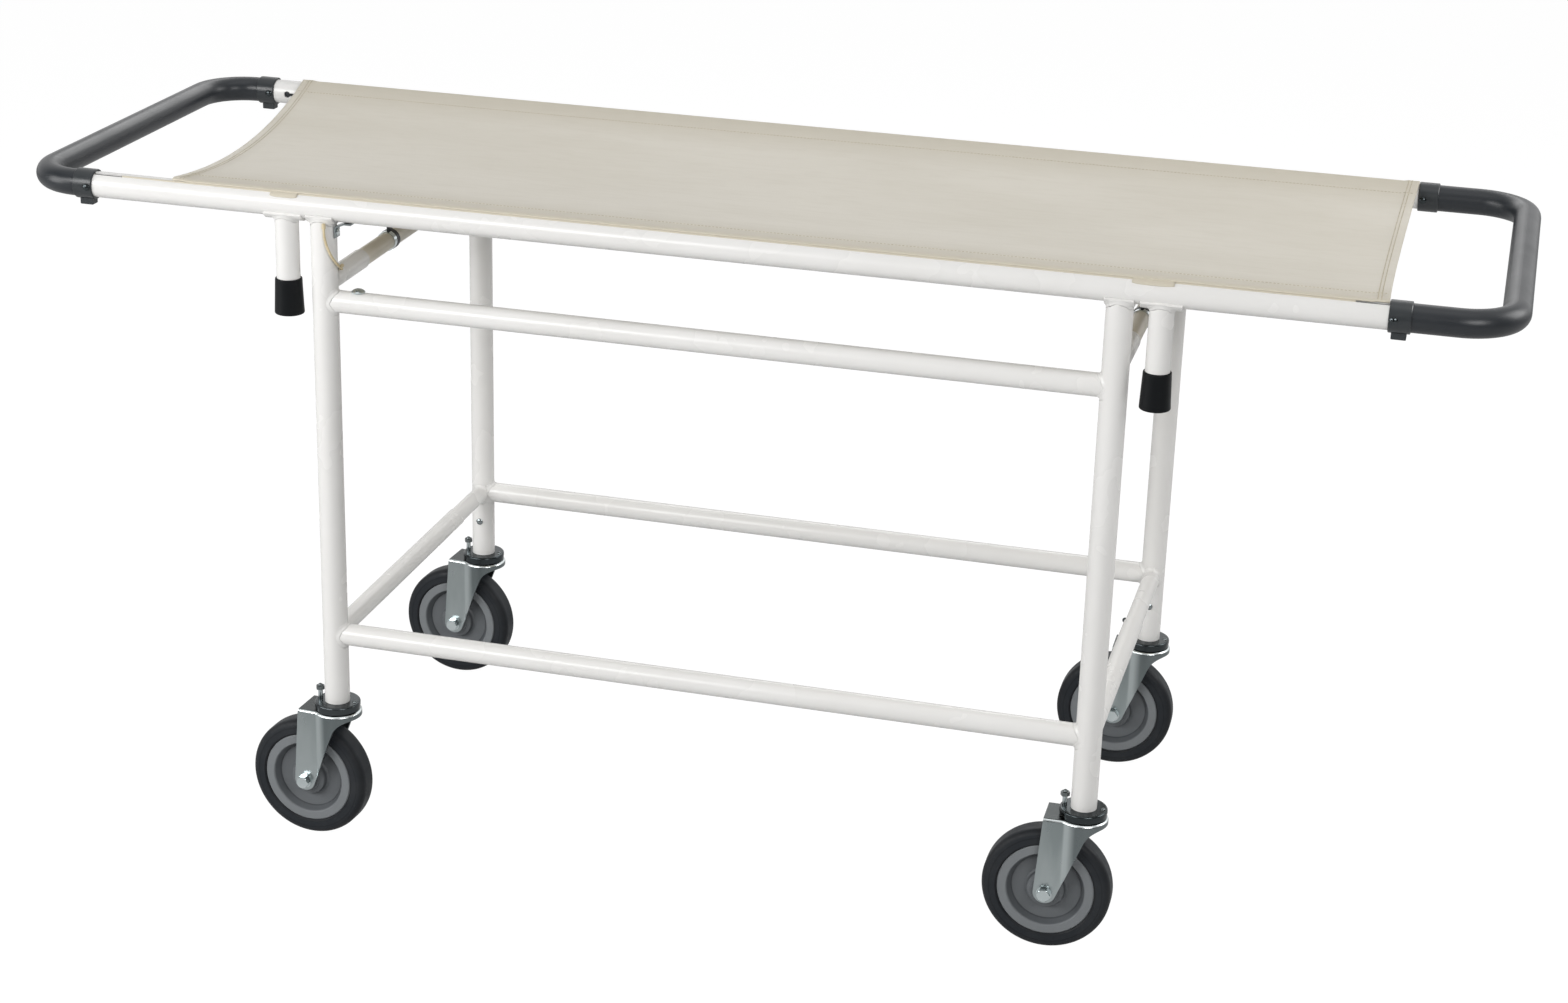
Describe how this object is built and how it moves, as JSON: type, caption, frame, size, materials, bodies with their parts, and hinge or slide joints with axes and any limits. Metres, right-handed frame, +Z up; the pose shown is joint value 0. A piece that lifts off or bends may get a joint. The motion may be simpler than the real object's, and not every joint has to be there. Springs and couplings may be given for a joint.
{
  "type": "patient trolley",
  "caption": "Tube-frame patient trolley on swivel castors with a lift-off canvas stretcher, U handles at both ends.",
  "frame": {"origin": "on the floor under the middle of the whole trolley", "axes": "+X along the bed to the end with the longer handle, +Y from the near side to the far side, +Z up"},
  "size_m": [1.825, 0.6069, 0.8636],
  "materials": {
    "white_paint": "satin",
    "handle_coat": "satin",
    "collar_plastic": "matte",
    "canvas": "matte",
    "zinc": "satin",
    "dark_steel": "satin",
    "bright_steel": "gloss",
    "wheel_grey": "matte",
    "tyre_rubber": "matte",
    "tip_rubber": "matte",
    "cord_cream": "matte",
    "black_plastic": "matte"
  },
  "bodies": {
    "wheel_frame": {"near_left_leg": "white_paint", "far_left_leg": "white_paint", "near_right_leg": "white_paint", "far_right_leg": "white_paint", "near_upper_bar": "white_paint", "near_lower_bar": "white_paint", "far_upper_bar": "white_paint", "far_lower_bar": "white_paint", "left_upper_cross_tube": "white_paint", "left_lower_cross_tube": "white_paint", "right_upper_cross_tube": "white_paint", "right_lower_cross_tube": "white_paint", "upper_bar_stubs": "white_paint", "cross_tube_stubs": "white_paint", "rail_saddles": "white_paint", "upper_bar_bolts": "zinc", "cross_joint_bolts": "zinc", "flange_bolts": "zinc", "stem_screws": "zinc", "kingpins": "zinc", "cross_tube_ferrules": "bright_steel", "rail_clip": "bright_steel", "rail_clip_screw": "bright_steel", "swivel_balls": "bright_steel", "lanyard_fittings": "cord_cream", "cross_tube_clips": "black_plastic", "castor_flanges": "dark_steel", "swivel_races": "dark_steel", "lanyard": "cord_cream"},
    "stretcher": {"near_rail": "white_paint", "far_rail": "white_paint", "stretcher_leg_plates": "white_paint", "near_left_stretcher_leg": "white_paint", "far_left_stretcher_leg": "white_paint", "near_right_stretcher_leg": "white_paint", "far_right_stretcher_leg": "white_paint", "canvas_bed": "canvas", "left_handle": "handle_coat", "right_handle": "handle_coat", "handle_collars": "collar_plastic", "collar_bolts": "dark_steel", "stretcher_feet": "tip_rubber"},
    "near_left_castor": {"near_left_castor_fork": "zinc", "near_left_castor_axle": "zinc"},
    "near_left_wheel": {"near_left_wheel_rim": "wheel_grey", "near_left_tyre": "tyre_rubber"},
    "far_left_castor": {"far_left_castor_fork": "zinc", "far_left_castor_axle": "zinc"},
    "far_left_wheel": {"far_left_wheel_rim": "wheel_grey", "far_left_tyre": "tyre_rubber"},
    "near_right_castor": {"near_right_castor_fork": "zinc", "near_right_castor_axle": "zinc"},
    "near_right_wheel": {"near_right_wheel_rim": "wheel_grey", "near_right_tyre": "tyre_rubber"},
    "far_right_castor": {"far_right_castor_fork": "zinc", "far_right_castor_axle": "zinc"},
    "far_right_wheel": {"far_right_wheel_rim": "wheel_grey", "far_right_tyre": "tyre_rubber"}
  },
  "joints": [
    {"name": "stretcher_lift", "type": "slide", "parent": "wheel_frame", "child": "stretcher", "axis": [0, 0, 1], "range_m": [0, 0.3]},
    {"name": "near_left_swivel", "type": "hinge", "parent": "wheel_frame", "child": "near_left_castor", "pos_m": [-0.509, -0.268, 0.178], "axis": [0, 0, 1], "continuous": true},
    {"name": "near_left_roll", "type": "hinge", "parent": "near_left_castor", "child": "near_left_wheel", "pos_m": [-0.54691, -0.26535, 0.08], "axis": [0.0698, 0.9976, 0], "continuous": true},
    {"name": "far_left_swivel", "type": "hinge", "parent": "wheel_frame", "child": "far_left_castor", "pos_m": [-0.509, 0.268, 0.178], "axis": [0, 0, 1], "continuous": true},
    {"name": "far_left_roll", "type": "hinge", "parent": "far_left_castor", "child": "far_left_wheel", "pos_m": [-0.54691, 0.27065, 0.08], "axis": [0.0698, 0.9976, 0], "continuous": true},
    {"name": "near_right_swivel", "type": "hinge", "parent": "wheel_frame", "child": "near_right_castor", "pos_m": [0.461, -0.268, 0.178], "axis": [0, 0, 1], "continuous": true},
    {"name": "near_right_roll", "type": "hinge", "parent": "near_right_castor", "child": "near_right_wheel", "pos_m": [0.42301, -0.26866, 0.08], "axis": [-0.0175, 0.9998, 0], "continuous": true},
    {"name": "far_right_swivel", "type": "hinge", "parent": "wheel_frame", "child": "far_right_castor", "pos_m": [0.461, 0.268, 0.178], "axis": [0, 0, 1], "continuous": true},
    {"name": "far_right_roll", "type": "hinge", "parent": "far_right_castor", "child": "far_right_wheel", "pos_m": [0.42301, 0.26734, 0.08], "axis": [-0.0175, 0.9998, 0], "continuous": true}
  ]
}
